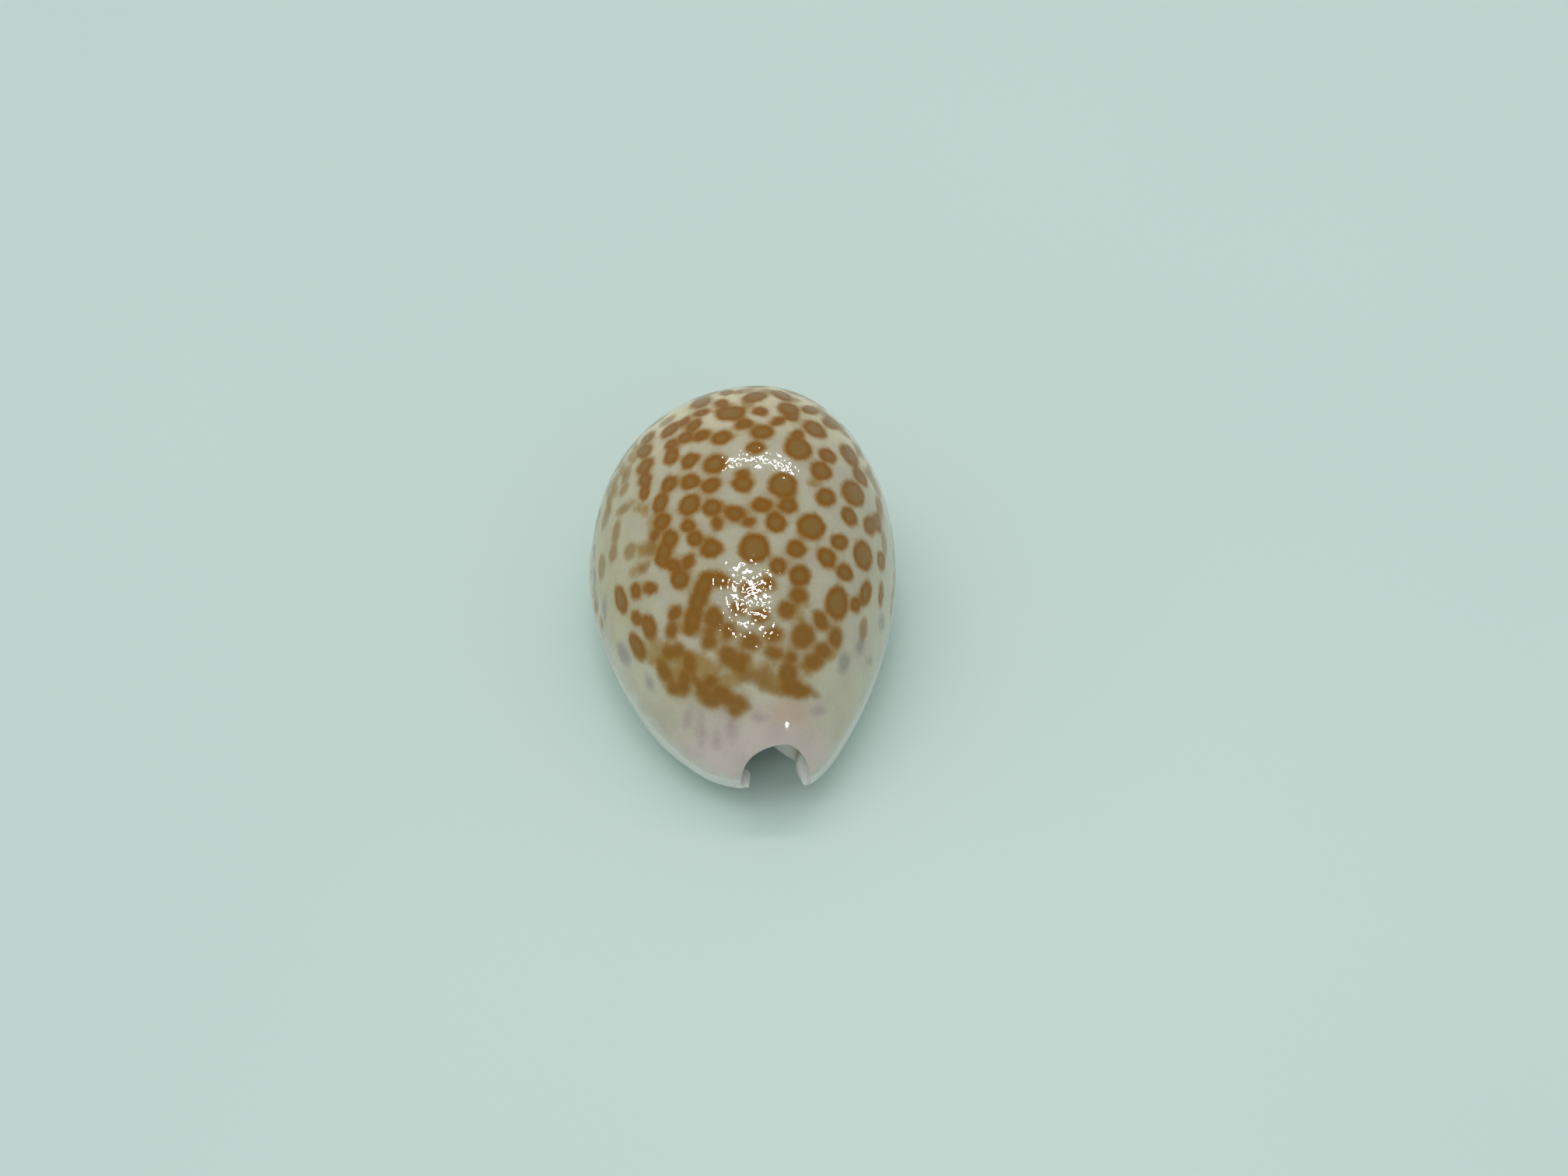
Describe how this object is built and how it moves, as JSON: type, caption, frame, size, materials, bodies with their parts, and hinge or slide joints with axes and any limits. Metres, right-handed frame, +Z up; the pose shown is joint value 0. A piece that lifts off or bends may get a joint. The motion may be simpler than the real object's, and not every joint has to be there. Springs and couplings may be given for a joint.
{
  "type": "cowrie shell",
  "caption": "Small empty cowrie shell: a humped pear-shaped dome with a narrow toothed mouth along its flat underside and an open channel at each end.",
  "frame": {"origin": "centre of the bounding box on the plane that the shell rests on", "axes": "+Z up through the back, +Y towards the blunt rear end, +X towards the inner-lip side"},
  "size_m": [0.0114, 0.016, 0.009],
  "materials": {
    "porcelain": "highly glossy natural shell, off-white with ringed orange-brown spots over the back"
  },
  "bodies": {
    "root": {"shell": "porcelain"}
  },
  "joints": []
}
